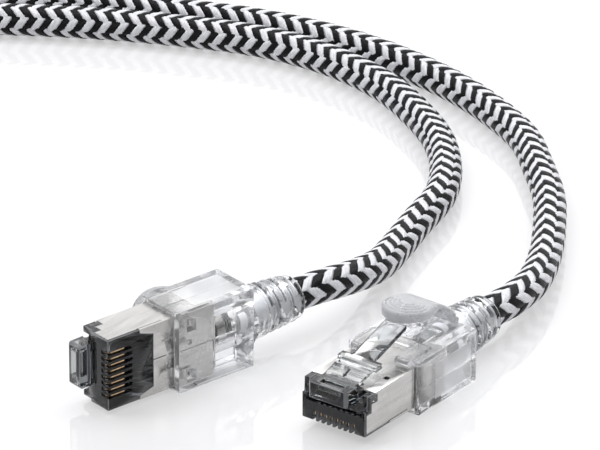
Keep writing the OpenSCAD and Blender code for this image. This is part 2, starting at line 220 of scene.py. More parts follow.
def filament_material(name, base, low, high, rough, shine):
    """One ribbon of parallel monofilaments: fine ridges along it, and a slight change of shade."""
    filaments = 7
    material = new_material(name, base, Roughness=rough, Specular_IOR_Level=shine)
    across = add_node(material, "ShaderNodeAttribute", attribute_name="across")
    along = add_node(material, "ShaderNodeAttribute", attribute_name="along")
    phase = add_node(material, "ShaderNodeMath", operation="MULTIPLY")
    phase.inputs[1].default_value = math.pi * filaments
    wave = add_node(material, "ShaderNodeMath", operation="SINE")
    height = add_node(material, "ShaderNodeMath", operation="ABSOLUTE")
    link(material, across.outputs["Fac"], phase.inputs[0])
    link(material, phase.outputs[0], wave.inputs[0])
    link(material, wave.outputs[0], height.inputs[0])
    bump(material, height.outputs[0], 0.5, 0.00008)
    strand = add_node(material, "ShaderNodeCombineXYZ")
    link(material, along.outputs["Fac"], strand.inputs[0])
    link(material, across.outputs["Fac"], strand.inputs[1])
    spread = add_node(material, "ShaderNodeMapping", Scale=(0.9, 3.2, 1))
    noise = add_node(material, "ShaderNodeTexNoise", Scale=1.0, Detail=3)
    link(material, strand.outputs[0], spread.inputs["Vector"])
    link(material, spread.outputs["Vector"], noise.inputs["Vector"])
    colour = ramp(material, noise.outputs["Fac"], [(0.32, low), (0.68, high)])
    link(material, colour, principled(material).inputs["Base Color"])
    return material


def nickel_material():
    """Satin nickel plate with a faint brushed grain and handling marks."""
    material = new_material("nickel", (0.54, 0.53, 0.52), Metallic=1.0, Roughness=0.26)
    grain = object_noise(material, 900, 3, stretch=(0.12, 1, 1))
    bump(material, grain, 0.15, 0.00004)
    marks = object_noise(material, 260, 5)
    rough = ramp(material, marks, [(0.35, 0.2), (0.7, 0.38)])
    link(material, rough, principled(material).inputs["Roughness"])
    shade = ramp(material, grain, [(0.3, (0.48, 0.47, 0.46)), (0.7, (0.62, 0.61, 0.595))])
    link(material, shade, principled(material).inputs["Base Color"])
    return material


def gold_material():
    material = new_material("gold", (0.7, 0.45, 0.18), Metallic=1.0, Roughness=0.2)
    wear = object_noise(material, 1400, 3)
    colour = ramp(material, wear, [(0.35, (0.55, 0.36, 0.2)), (0.7, (0.85, 0.64, 0.42))])
    link(material, colour, principled(material).inputs["Base Color"])
    return material


def clear_material(name, base, rough, tint, grain=0.0, ior=1.45, clarity=1.0):
    """Clear or tinted moulded plastic; grain frosts its skin, and less clarity makes it milky."""
    material = new_material(name, base, Roughness=rough, IOR=ior, Transmission_Weight=clarity)
    skin = object_noise(material, 420, 4)
    spread = ramp(material, skin, [(0.3, rough), (0.75, min(1.0, rough * 1.8 + 0.02))])
    link(material, spread, principled(material).inputs["Roughness"])
    if grain:
        bump(material, object_noise(material, 3000, 3), grain, 0.00005)
    lets_light_through(material, tint)
    return material


def plastic_material(name, base, rough):
    """Opaque plastic with a slightly uneven skin."""
    material = new_material(name, base, Roughness=rough, IOR=1.48)
    bump(material, object_noise(material, 900, 4), 0.15, 0.00005)
    shade = object_noise(material, 300, 3)
    dark = tuple(0.85 * c for c in base)
    colour = ramp(material, shade, [(0.3, dark), (0.7, base)])
    link(material, colour, principled(material).inputs["Base Color"])
    return material


def screen_material():
    """Tinned copper screen: a fine diagonal weave, dull and dark between the wires."""
    material = new_material("screen", (0.12, 0.12, 0.13), Metallic=0.8, Roughness=0.45)
    place = add_node(material, "ShaderNodeTexCoord")
    heights = []
    for turn in (math.radians(38), math.radians(-38)):
        mapped = add_node(material, "ShaderNodeMapping", Rotation=(turn, 0, turn))
        wave = add_node(material, "ShaderNodeTexWave", Scale=1100.0, Distortion=0.4)
        link(material, place.outputs["Object"], mapped.inputs["Vector"])
        link(material, mapped.outputs["Vector"], wave.inputs["Vector"])
        heights.append(wave.outputs["Fac"])
    top = add_node(material, "ShaderNodeMath", operation="MAXIMUM")
    link(material, heights[0], top.inputs[0])
    link(material, heights[1], top.inputs[1])
    bump(material, top.outputs[0], 0.6, 0.00008)
    colour = ramp(material, top.outputs[0], [(0.4, 0.02), (1.0, 0.45)])
    link(material, colour, principled(material).inputs["Base Color"])
    return material


NICKEL = nickel_material()
GOLD = gold_material()
SMOKE = clear_material("smoke", (0.11, 0.115, 0.127), 0.02, (0.35, 0.36, 0.38), ior=1.42, clarity=0.97)
# A lighter copy of the smoke plastic: painted light, standing in for light shining through the latch's
# block.
SMOKE_ROOT_LIT = clear_material("smoke_root_lit", (0.42, 0.43, 0.425), 0.02, (0.6, 0.61, 0.61), ior=1.42)
# A lighter, milkier copy of the smoke plastic for the housing's rounded edges: a painted highlight.
SMOKE_EDGE_HIGHLIGHT = clear_material("smoke_edge_highlight", (0.3, 0.31, 0.32), 0.05, (0.6, 0.61, 0.61), clarity=0.45)
SMOKE_THIN = clear_material("smoke_thin", (0.76, 0.78, 0.79), 0.03, (0.8, 0.81, 0.82))
CLEAR = clear_material("clear", (0.98, 0.983, 0.99), 0.05, (0.94, 0.95, 0.96), grain=0.04, ior=1.42,
                       clarity=0.94)
CLEAR_FROST = clear_material("clear_frost", (0.96, 0.963, 0.975), 0.3, (0.92, 0.93, 0.94), grain=0.2,
                             ior=1.4, clarity=0.65)
CLEAR_SOFT = clear_material("clear_soft", (0.95, 0.955, 0.965), 0.02, (0.94, 0.95, 0.96), ior=1.42,
                            clarity=0.98)
# Painted shade: a dark clear tint for the faces down in the sleeve's slots, standing in for the little light
# that gets out of them.
SLOT_PAINTED_SHADE = clear_material("slot_painted_shade", (0.2, 0.205, 0.22), 0.12, (0.8, 0.81, 0.82), ior=1.42, clarity=0.8)
FROSTED = clear_material("frosted", (0.56, 0.565, 0.58), 0.22, (0.85, 0.86, 0.87), grain=0.03, clarity=0.45)
JACKET = plastic_material("jacket", (0.9, 0.9, 0.91), 0.3)
SCREEN = screen_material()
CORE = plastic_material("cable_core", (0.012, 0.012, 0.014), 0.5)
WHITE_RIBBON = filament_material("ribbon_white", (0.86, 0.87, 0.9), (0.66, 0.68, 0.73), (0.98, 0.98, 1.0),
                                 0.22, 0.8)
BLACK_RIBBON = filament_material("ribbon_black", (0.003, 0.003, 0.004), (0.002, 0.002, 0.003),
                                 (0.006, 0.006, 0.008), 0.22, 0.15)
WIRES = {
    "orange": plastic_material("wire_orange", (0.9, 0.32, 0.03), 0.35),
    "green": plastic_material("wire_green", (0.05, 0.42, 0.12), 0.35),
    "blue": plastic_material("wire_blue", (0.05, 0.16, 0.62), 0.35),
    "brown": plastic_material("wire_brown", (0.22, 0.1, 0.04), 0.35),
}
TIE = plastic_material("tie_fabric", (0.015, 0.015, 0.017), 0.8)

# ---- Mesh helpers ----


def make_piece(name, vertices, faces, material, body=BODY):
    """A smooth-shaded mesh piece that rides on a body."""
    mesh = bpy.data.meshes.new(name)
    mesh.from_pydata([tuple(v) for v in vertices], [], [tuple(f) for f in faces])
    mesh.polygons.foreach_set("use_smooth", [True] * len(mesh.polygons))
    mesh.materials.append(material)
    piece = bpy.data.objects.new(name, mesh)
    bpy.context.scene.collection.objects.link(piece)
    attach(piece, body)
    return piece


def node_body(node):
    return frame["nodes"][node]["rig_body"]


COMB_HALF_W = 4.7
COMB_TOP = 5.6
SHORTEST_ROUNDED = 1.2


def in_comb(point):
    """Whether a point in the plug's own frame is among the contact slots."""
    return abs(point.y) < COMB_HALF_W and point.z < COMB_TOP


def outer_edge(start, end):
    """Whether an edge, in the plug's own frame, is a long one outside the comb."""
    return (end - start).length > SHORTEST_ROUNDED and not in_comb((start + end) / 2)


def rounded_mesh(node, radius, to_plug):
    """Mesh of a CAD node with its long outer edges rounded to a radius in millimetres."""
    bm = bmesh.new()
    bm.from_mesh(frame["nodes"][node].data)
    bmesh.ops.remove_doubles(bm, verts=bm.verts, dist=2e-6)
    bmesh.ops.dissolve_limit(
        bm, angle_limit=math.radians(0.5), verts=bm.verts, edges=bm.edges, use_dissolve_boundaries=False
    )
    if radius:
        sharp = [e for e in bm.edges if e.is_manifold and e.calc_face_angle() > math.radians(35)
                 and outer_edge(*(to_plug @ v.co for v in e.verts))]
        bmesh.ops.bevel(
            bm, geom=sharp, offset=radius * MM, offset_type="OFFSET", segments=2, profile=0.5,
            affect="EDGES", clamp_overlap=False,
        )
    bmesh.ops.triangulate(bm, faces=[f for f in bm.faces if len(f.verts) > 4])
    mesh = bpy.data.meshes.new(node + "_moulded")
    bm.to_mesh(mesh)
    bm.free()
    mesh.polygons.foreach_set("use_smooth", [True] * len(mesh.polygons))
    mesh.set_sharp_from_angle(angle=math.radians(32))
    return mesh


def give_materials(mesh, materials, choose, to_plug):
    """Adds the materials; choose picks a face's material by its place and normal in the plug's frame."""
    mesh.materials.clear()
    for material in materials:
        mesh.materials.append(material)
    for face in mesh.polygons:
        normal = (to_plug.to_3x3() @ face.normal).normalized()
        face.material_index = choose(to_plug @ face.center, normal) if choose else 0


def moulded(node, materials, radius=0, choose=None):
    """Shows a CAD node's own shape, smooth-shaded, with its long outer edges rounded when a radius is given.
    """
    to_plug = Matrix.Scale(1 / MM, 4) @ PLUG[node[-1]].inverted()
    mesh = rounded_mesh(node, radius, to_plug)
    give_materials(mesh, materials, choose, to_plug)
    piece = bpy.data.objects.new(node + "_moulded", mesh)
    bpy.context.scene.collection.objects.link(piece)
    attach(piece, node_body(node))
    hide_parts(node)


def paint(node, material):
    """Gives a CAD node that keeps its shape its material."""
    mesh_object = frame["nodes"][node]
    if not mesh_object.material_slots:
        mesh_object.data.materials.append(None)
    for material_slot in mesh_object.material_slots:
        material_slot.link = "OBJECT"
        material_slot.material = material


# ---- Solids for the plug's clear pieces, in millimetres in the plug's own frame ----


def section(x, half_w, low, high, radius):
    """Rounded rectangle across the plug at x; it is a circle when the radius fills it."""
    steps = 5
    points = []
    corners = ((half_w, high, 0), (-half_w, high, 90), (-half_w, low, 180), (half_w, low, 270))
    for y, z, start in corners:
        inner_y = y - math.copysign(radius, y)
        inner_z = z - radius if z == high else z + radius
        for i in range(steps + 1):
            angle = math.radians(start + 90 * i / steps)
            points.append((x, inner_y + radius * math.cos(angle), inner_z + radius * math.sin(angle)))
    return points


def disc(x, radius):
    """A circular section about the cable's axis."""
    return section(x, radius, CABLE_AXIS_Z - radius, CABLE_AXIS_Z + radius, radius)


def loft(sections, cyclic=False):
    """A temporary solid through sections with equal numbers of points."""
    sides, count = len(sections[0]), len(sections)
    vertices = [p for ring in sections for p in ring]
    faces = []
    for i in range(count if cyclic else count - 1):
        a, b = i * sides, (i + 1) % count * sides
        faces += [(a + k, a + (k + 1) % sides, b + (k + 1) % sides, b + k) for k in range(sides)]
    if not cyclic:
        faces += [tuple(range(sides))[::-1], tuple(range((count - 1) * sides, count * sides))]
    return solid(vertices, faces)


def solid(vertices, faces):
    """A temporary object of a closed mesh, with its faces turned outwards."""
    mesh = bpy.data.meshes.new("solid")
    mesh.from_pydata(vertices, [], faces)
    bm = bmesh.new()
    bm.from_mesh(mesh)
    bmesh.ops.recalc_face_normals(bm, faces=bm.faces)
    bm.to_mesh(mesh)
    bm.free()
    made = bpy.data.objects.new("solid", mesh)
    bpy.context.scene.collection.objects.link(made)
    return made


def block(low, high, flare=0.0):
    """A box, whose end at the low Z is wider by flare all round."""
    corners = []
    for z, grow in ((low[2], flare), (high[2], 0)):
        x0, x1, y0, y1 = low[0] - grow, high[0] + grow, low[1] - grow, high[1] + grow
        corners += [(x0, y0, z), (x1, y0, z), (x1, y1, z), (x0, y1, z)]
    faces = [(3, 2, 1, 0), (4, 5, 6, 7)] + [(k, (k + 1) % 4, (k + 1) % 4 + 4, k + 4) for k in range(4)]
    return solid(corners, faces)


def rod(start, end, radius):
    """A round bar between two points."""
    sides = 32
    a, b = Vector(start), Vector(end)
    u = (b - a).orthogonal().normalized()
    v = (b - a).normalized().cross(u)
    angles = [2 * math.pi * k / sides for k in range(sides)]
    rings = [[tuple(c + radius * (math.cos(t) * u + math.sin(t) * v)) for t in angles] for c in (a, b)]
    return loft(rings)


def combine(target, tools, operation="DIFFERENCE"):
    """Cuts the tools from the target, or joins or intersects them, and throws the tools away."""
    for tool in tools:
        modifier = target.modifiers.new("combine", "BOOLEAN")
        modifier.operation, modifier.solver, modifier.object = operation, "EXACT", tool
        graph = bpy.context.evaluated_depsgraph_get()
        made = bpy.data.meshes.new_from_object(target.evaluated_get(graph))
        target.modifiers.clear()
        target.data = made
        bpy.data.objects.remove(tool)
    return target


def mirrored(low, high):
    """The same Y range on both sides of the middle plane."""
    return (low, high), ((low[0], -high[1], low[2]), (high[0], -low[1], high[2]))


def place_on_plug(shape, node, finish, materials, sharp_angle=32, choose=None):
    """Moves a finished solid from the plug's own frame to its place and shows it instead of its CAD node."""
    mesh = shape.data
    bm = bmesh.new()
    bm.from_mesh(mesh)
    bmesh.ops.remove_doubles(bm, verts=bm.verts, dist=0.002)
    bmesh.ops.triangulate(bm, faces=[f for f in bm.faces if len(f.verts) > 4])
    bm.to_mesh(mesh)
    bm.free()
    give_materials(mesh, materials, choose, Matrix.Identity(4))
    mesh.transform(PLUG[node[-1]] @ Matrix.Scale(MM, 4))
    mesh.polygons.foreach_set("use_smooth", [True] * len(mesh.polygons))
    mesh.set_sharp_from_angle(angle=math.radians(sharp_angle))
    shape.name = f"{node}_{finish}"
    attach(shape, node_body(node))
    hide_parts(node)


# ---- Boot, in two clear halves ----

BOOT_HALF_W = 6.55
BOOT_H = 8.75
BOOT_L = 14.6
NECK_END = 17.9
PARTING_Z = 3.95
POCKET_LOW, POCKET_TOP, POCKET_HALF_W = 1.2, 7.94, 5.94
GUARD_HINGE_X, GUARD_HINGE_Z = -14.0, 9.25


def boot_solid():
    """Hollow clear body: rounded box, shoulder and neck outside, plug pocket and cable bore inside."""
    def box(x, inset, radius):
        return section(x, BOOT_HALF_W - inset, inset, BOOT_H - inset, radius)

    outside = [
        box(0, 0.12, 0.12), box(-0.04, 0.035, 0.2), box(-0.13, 0, 0.22), box(0.4 - BOOT_L, 0, 0.22),
        box(0.15 - BOOT_L, 0.06, 0.25), box(0.04 - BOOT_L, 0.17, 0.3), box(-BOOT_L, 0.4, 0.5),
        section(-BOOT_L - 0.15, 5.25, 0.02 + 0.5, BOOT_H - 0.5, 2.9), disc(-BOOT_L - 0.6, 4.72),
        disc(-BOOT_L - 1.3, 4.42), disc(-BOOT_L - 2.3, 4.25), disc(0.2 - NECK_END, 4.2),
        disc(-NECK_END, 4.05),
    ]
    inside = [
        disc(-NECK_END, 3.13), disc(-15.32, 3.13), disc(-15.33, 3.5), disc(-7.31, 3.5),
        section(-7.3, POCKET_HALF_W, POCKET_LOW, POCKET_TOP, 0.15),
        section(-0.25, POCKET_HALF_W, POCKET_LOW, POCKET_TOP, 0.15),
        section(0, POCKET_HALF_W + 0.18, POCKET_LOW - 0.18, POCKET_TOP + 0.18, 0.25),
    ]
    return loft(outside + inside, cyclic=True)


PANEL = (-13.2, -4.1, 1.2, 7.2)
PANEL_DEPTH = 0.16


def side_panels():
    """Tools for the shallow frosted panel in each side."""
    x0, x1, z0, z1 = PANEL
    inner = BOOT_HALF_W - PANEL_DEPTH
    return [block((x0, y0, z0), (x1, y1, z1)) for y0, y1 in ((inner, 8), (-8, -inner))]


def panel_finish(centre, normal):
    """1, frosted, for the floor of a side panel, and 0, clear, for every other face."""
    x0, x1, z0, z1 = PANEL
    on_floor = abs(abs(centre.y) - BOOT_HALF_W + PANEL_DEPTH) < 0.02 and abs(normal.y) > 0.9
    return int(on_floor and x0 < centre.x < x1 and z0 < centre.z < z1)


PARTING_GAP = 0.02
LATCH_SLOT_HALF_W = 2.9
LUG_END_X = 0.6
LUG_TOP = BOOT_H + 0.5


def boot_lower():
    """Contact side: flared windows over the shell, a pin hole, and a recess open over the cable clamp."""
    half = combine(boot_solid(), [block((-20, -9, -2), (2, 9, PARTING_Z - PARTING_GAP))], "INTERSECT")
    flared = [block(low, high, flare=0.28)
              for low, high in mirrored((-3.15, 3.45, -0.28), (-1.75, 4.95, 0.5))]
    through = [block(low, high) for low, high in mirrored((-3.15, 3.45, 0.2), (-1.75, 4.95, 2))]
    pin_hole = rod((-2.1, 1.5, -1), (-2.1, 1.5, 0.6), 0.45)
    recess = block((-11.05, -4.3, -1), (-6.95, 4.3, 0.4))
    opening = block((-11.0, 0.2, -1), (-7.0, 4.1, 3))
    return combine(half, flared + through + side_panels() + [pin_hole, recess, opening])


def boot_lugs():
    """Two round-nosed lugs beside the latch."""
    nose_r = (LUG_TOP - POCKET_TOP) / 2
    nose_z = POCKET_TOP + nose_r
    lugs = []
    for low, high in mirrored((-4.8, LATCH_SLOT_HALF_W, POCKET_TOP + 0.01), (LUG_END_X, 5.3, LUG_TOP)):
        lugs.append(block(low, high))
        lugs.append(rod((LUG_END_X, low[1], nose_z), (LUG_END_X, high[1], nose_z), nose_r - 0.005))
    return lugs


def latch_side_slot(back, front, bottom):
    """Room for the latch or the guard, open upwards."""
    return block((back, -LATCH_SLOT_HALF_W, bottom), (front, LATCH_SLOT_HALF_W, 12))


def boot_upper():
    """Latch side: the lugs, the slots for latch and guard, and the bearing of the guard's pin."""
    half = combine(boot_solid(), [block((-20, -9, PARTING_Z + PARTING_GAP), (2, 9, 12))], "INTERSECT")
    combine(half, boot_lugs(), "UNION")
    pin_ends = [(GUARD_HINGE_X, y, GUARD_HINGE_Z) for y in (-3.3, 3.3)]
    return combine(half, side_panels() + [
        latch_side_slot(-4.6, 2, POCKET_TOP - 0.3),
        latch_side_slot(-7.25, -5.4, POCKET_TOP - 0.3),
        latch_side_slot(-10.6, -7.0, 8.25),
        rod(*pin_ends, 0.6),
    ])


def build_boot(end):
    for half, shape in (("lower", boot_lower()), ("upper", boot_upper())):
        place_on_plug(shape, f"boot_{half}_{end}", "clear", (CLEAR, CLEAR_FROST),
                      choose=panel_finish)


# ---- Latch guard: an arched strap that spreads into a round pad with fingertip ridges ----

ARCH_X, ARCH_Z = -4.6, 2.68
ARCH_R = 12.12
STRAP_T = 1.3
STRAP_HALF_W = 3.2
GUARD_PIN_R = 0.55
PAD_X = -6.1
PAD_R = 4.0
PAD_LOW = 12.78
PAD_SPREAD = 4.5
RIDGE_SPACING = 0.68
RIDGE_HEIGHT = 0.27


def guard_width(x):
    """Half the guard's width at x: the strap, spreading smoothly into the round pad."""
    ahead = x - PAD_X
    if ahead > 0:
        return math.sqrt(max(PAD_R**2 - ahead**2, 0.0004))
    return STRAP_HALF_W + (PAD_R - STRAP_HALF_W) * float(smooth(1 + ahead / PAD_SPREAD))


def guard_top(x, y):
    """Height added to the arch by the pad's dome, its rounded rim and its ridges."""
    from_middle = math.hypot(x - PAD_X, y)
    padness = float(smooth(1 + (x - PAD_X) / PAD_SPREAD))
    rim = PAD_R - from_middle if x > PAD_X else guard_width(x) - abs(y)
    round_off = 0.5 * (1 - math.sqrt(1 - max(0, min(1, 1 - rim / 0.5)) ** 2))
    front = float(smooth((x - PAD_X + 0.9) / 1.2))
    band = float(smooth((from_middle - 0.8) / 0.4) * smooth((3.7 - from_middle) / 0.3))
    ridge = abs(math.sin(math.pi * from_middle / RIDGE_SPACING)) ** 0.7 - 1
    return RIDGE_HEIGHT * ridge * front * band - round_off - 0.035 * y * y * padness


def guard_shell():
    """Closed form of strap and pad: rings across it, from the hinge to the pad's front."""
    across, under = 72, 16
    xs = [-13.9 + 0.2 * i for i in range(37)] + [PAD_X - 0.3 + 0.1 * i for i in range(42)]
    xs += [PAD_X + PAD_R - d for d in (0.14, 0.09, 0.05, 0.02, 0.004)]
    rings = []
    for x in sorted(xs):
        half = guard_width(x)
        arch = math.sqrt(ARCH_R**2 - (x - ARCH_X) ** 2) + ARCH_Z
        inner = ARCH_Z + math.sqrt(max((ARCH_R - STRAP_T) ** 2 - (x - ARCH_X) ** 2, 0))
        inner = max(inner, GUARD_HINGE_Z) - (max(inner, GUARD_HINGE_Z) - PAD_LOW) * pad_blend(x)
        ring = []
        for k in range(across):
            y = half * math.cos(math.pi * (k + 0.5) / across)
            ring.append((x, y, max(arch + guard_top(x, y), inner + 0.02)))
        for k in range(under):
            y = -half * math.cos(math.pi * (k + 0.5) / under)
            ring.append((x, y, inner + 0.25 * (abs(y) / half) ** 8))
        rings.append(ring)
    return loft(rings)


def pad_blend(x):
    """0 under the strap, rising to 1 where the underside is the pad's flat bottom."""
    return float(smooth((x - PAD_X + PAD_R + 0.4) / 0.9))


def build_guard(end):
    """Strap and pad joined to the round pin on which the guard turns."""
    ends = [(GUARD_HINGE_X, side * STRAP_HALF_W, GUARD_HINGE_Z) for side in (-1, 1)]
    hinge = rod(*ends, GUARD_PIN_R)
    guard = combine(guard_shell(), [hinge], "UNION")
    place_on_plug(guard, "latch_guard_" + end, "frosted", (FROSTED,), 50)


# ---- Strain relief: a soft clear sleeve with fat rings and rounded slots ----

SLOT_RINGS = 5
SLOT_PITCH = 1.4
FIRST_SLOT_X = -18.98
SLOT_HALF_W = 0.44
SLOT_HALF_ANGLE = math.radians(59)
SLOT_DEPTH = 1.3
GROOVE_HALF_W = 0.68
GROOVE_DEPTH = 0.45
SLEEVE_FRONT_R = 4.15
SLEEVE_TAPER = 0.6
SLEEVE_BORE_R = 2.34
SLEEVE_MOUTH_R = 2.45
FLANGE_FRONT = 14.3
FLANGE_BACK = 15.3
FLANGE_R = 3.4
STEM_R = 3.1
RIM_LENGTH = 0.35
RIM_DEPTH = 0.3


def uncut_radius(x):
    """Outer radius of the sleeve's tapered form, before slots and grooves."""
    return SLEEVE_FRONT_R - SLEEVE_TAPER * (x + NECK_END) / (NECK_END - SLEEVE_END)


def sleeve_radius(x, angle):
    """Outer radius of the sleeve; angle is 0 on the Y side and rises towards the latch side."""
    radius = uncut_radius(x)
    cut = 0
    for k in range(SLOT_RINGS):
        middle_x = FIRST_SLOT_X - k * SLOT_PITCH
        middle_angle = math.pi / 2 * (k % 2)
        turned = (angle - middle_angle + math.pi / 2) % math.pi - math.pi / 2
        past_end = max(0, abs(turned) - SLOT_HALF_ANGLE) * radius
        distance = math.hypot(x - middle_x, past_end)
        slot = SLOT_DEPTH * float(smooth((SLOT_HALF_W - distance) / 0.28))
        groove = GROOVE_DEPTH * float(smooth((GROOVE_HALF_W - abs(x - middle_x)) / GROOVE_HALF_W))
        cut = max(cut, slot, groove)
    rim = RIM_DEPTH * float(smooth(1 - (x + SLEEVE_END) / RIM_LENGTH))
    return radius - cut - rim


def in_slot_shade(centre, _normal):
    """1, painted shade, for a face down in one of the sleeve's slots, where little light gets out, or else
    0.
    """
    out = math.hypot(centre.y, centre.z - CABLE_AXIS_Z)
    among_slots = 0.6 - SLEEVE_END < centre.x < -NECK_END - 0.2
    return int(among_slots and SLEEVE_BORE_R + 0.26 < out < uncut_radius(centre.x) - 0.5)


def build_strain_relief(end):
    """Hollow sleeve with its flange held in the boot's neck."""
    sides = 112

    def ring(x, radius=None):
        points = []
        for k in range(sides):
            angle = 2 * math.pi * k / sides
            r = radius or sleeve_radius(x, angle)
            points.append((x, r * math.cos(angle), CABLE_AXIS_Z + r * math.sin(angle)))
        return points

    start = -NECK_END - 0.03
    count = 100
    rings = [
        ring(-FLANGE_FRONT, FLANGE_R), ring(0.01 - FLANGE_BACK, FLANGE_R), ring(-FLANGE_BACK, STEM_R),
        ring(start, STEM_R), ring(start, SLEEVE_FRONT_R - 0.2),
    ]
    front = start - 0.05
    rings += [ring(front - (SLEEVE_END + front) * i / count) for i in range(count + 1)]
    rings += [
        ring(-SLEEVE_END, SLEEVE_MOUTH_R), ring(0.1 - SLEEVE_END, SLEEVE_BORE_R),
        ring(-FLANGE_FRONT - 0.1, SLEEVE_BORE_R), ring(-FLANGE_FRONT, SLEEVE_MOUTH_R),
    ]
    place_on_plug(loft(rings, cyclic=True), "strain_relief_" + end, "soft", (CLEAR_SOFT, SLOT_PAINTED_SHADE),
                  60, in_slot_shade)


# ---- The cable's centre line ----

TIE_ANGLE = COIL_START - math.pi / 2
TIE_LIFT = 0.0009


def coil_point(t):
    """Centre of the cable after t turns: a flat spiral, then up and over into the groove beside it."""
    lap = max(t - FLAT_TURNS, 0)
    roll = math.radians(120) * smooth(lap / 0.5)
    radius = OUTER_TURN_R - TURN_PITCH * (t - 1 if t > FLAT_TURNS else t)
    if t > FLAT_TURNS:
        radius -= TURN_PITCH * math.cos(roll)
    angle = COIL_START - 2 * math.pi * t
    offset = Vector((math.cos(angle), math.sin(angle), 0)) * radius
    from_tie = abs(math.sin(angle - TIE_ANGLE)) * radius
    lift = TIE_LIFT * smooth((0.013 - from_tie) / 0.007) * (math.cos(angle - TIE_ANGLE) > 0)
    return COIL_CENTRE + offset + Vector((0, 0, CABLE_R + TURN_PITCH * math.sin(roll) + lift))


def end_points(end):
    return [plug_point(end, -SLEEVE_END, 0, CABLE_AXIS_Z), plug_point(end, -SLEEVE_END - 3, 0, CABLE_AXIS_Z)]


def through_points(points, steps=12):
    """Catmull-Rom curve through the points."""
    p = np.array([tuple(q) for q in points])
    p = np.vstack([2 * p[0] - p[1], p, 2 * p[-1] - p[-2]])
    t = np.arange(steps)[:, None] / steps
    rows = []
    for a, b, c, d in zip(p[:-3], p[1:-2], p[2:-1], p[3:]):
        rows.append(0.5 * (2 * b + (c - a) * t + (2 * a - 5 * b + 4 * c - d) * t**2
                           + (3 * b - a - 3 * c + d) * t**3))
    return np.vstack([*rows, p[-2:-1]])


def evenly(line, step):
    """The line again with points an even step apart."""
    run = np.concatenate([[0], np.cumsum(np.linalg.norm(np.diff(line, axis=0), axis=1))])
    at = np.linspace(0, run[-1], int(round(run[-1] / step)) + 1)
    return np.stack([np.interp(at, run, line[:, k]) for k in range(3)], axis=1)


POINTS_PER_TURN = 24
coil_points = [coil_point(i / POINTS_PER_TURN) for i in range(int(TURNS * POINTS_PER_TURN) + 1)]
CENTRE_LINE = evenly(
    through_points([*end_points("a"), *ROUTE_A, *coil_points, *ROUTE_B[::-1], *end_points("b")[::-1]]),
    0.0005,
)
LINE_STEP = float(np.linalg.norm(CENTRE_LINE[1] - CENTRE_LINE[0]))
CABLE_LENGTH = LINE_STEP * (len(CENTRE_LINE) - 1)


def softened(values, reach=3):
    """A running average, so that the tube's rings turn smoothly."""
    kernel = np.ones(2 * reach + 1) / (2 * reach + 1)
    padded = np.pad(values, ((reach, reach), (0, 0)), mode="edge")
    return np.stack([np.convolve(padded[:, k], kernel, "valid") for k in range(3)], axis=1)


TANGENT = softened(np.gradient(CENTRE_LINE, axis=0))
TANGENT /= np.linalg.norm(TANGENT, axis=1)[:, None]
RIGHT = np.cross(TANGENT, (0, 0, 1))
RIGHT /= np.linalg.norm(RIGHT, axis=1)[:, None]
UP = np.cross(RIGHT, TANGENT)


def on_cable(along, angle, radius):
    """Points round the cable: metres along it from plug A, radians from its right side up, metres out."""
    at = np.clip(along / LINE_STEP, 0, len(CENTRE_LINE) - 1.001)
    i = at.astype(int)
    f = (at - i)[..., None]
    centre, right, up = (v[i] * (1 - f) + v[i + 1] * f for v in (CENTRE_LINE, RIGHT, UP))
    return centre + radius[..., None] * (np.cos(angle)[..., None] * right + np.sin(angle)[..., None] * up)


def grid_faces(rings, sides, first=0):
    """Quads of a tube of that many rings and sides, with its two end caps as polygons."""
    i, k = np.meshgrid(np.arange(rings - 1), np.arange(sides), indexing="ij")
    j = (k + 1) % sides
    quads = np.stack([i * sides + k, (i + 1) * sides + k, (i + 1) * sides + j, i * sides + j], axis=-1)
    caps = [list(range(first, first + sides)), [first + (rings - 1) * sides + n for n in range(sides)][::-1]]
    return (quads.reshape(-1, 4) + first).tolist() + caps


# ---- Cable: dark core and a woven sleeve of sixteen ribbons ----

RIBBONS = 8
MEAN_PITCH = 0.0112
COLUMN = math.radians(45)
UP_APEX = math.radians(33.75)
CORE_R = 0.00228
UNDER_R = 0.00237
OVER_R = 0.00252
LEG_A = 0.1977
LEG_B = 0.2065


def braid_turn(along):
    """How far the whole weave is turned about the cable, so that its chevrons lie as they do."""
    near_plug = 0.035
    to_plug_b = CABLE_LENGTH - along
    turn = -22.75 - 21 * smooth(1 - along / near_plug)
    turn = turn + 14 * smooth((along - LEG_A) / (CABLE_LENGTH - LEG_A - LEG_B))
    return np.radians(turn + 24 * smooth(1 - to_plug_b / near_plug))


def pitch(along):
    """Length of one turn of a ribbon; the sleeve is stretched over the last centimetres at each plug."""
    middle = 0.011 + 0.0006 * smooth((along - LEG_A) / (CABLE_LENGTH - LEG_A - LEG_B))
    return middle * (1 + 0.38 * smooth(1 - np.minimum(along, CABLE_LENGTH - along) / 0.075))


PHASE_STEPS = np.linspace(0, CABLE_LENGTH, 4000)
PHASE = np.cumsum(2 * math.pi / pitch(PHASE_STEPS)) * (PHASE_STEPS[1] - PHASE_STEPS[0])


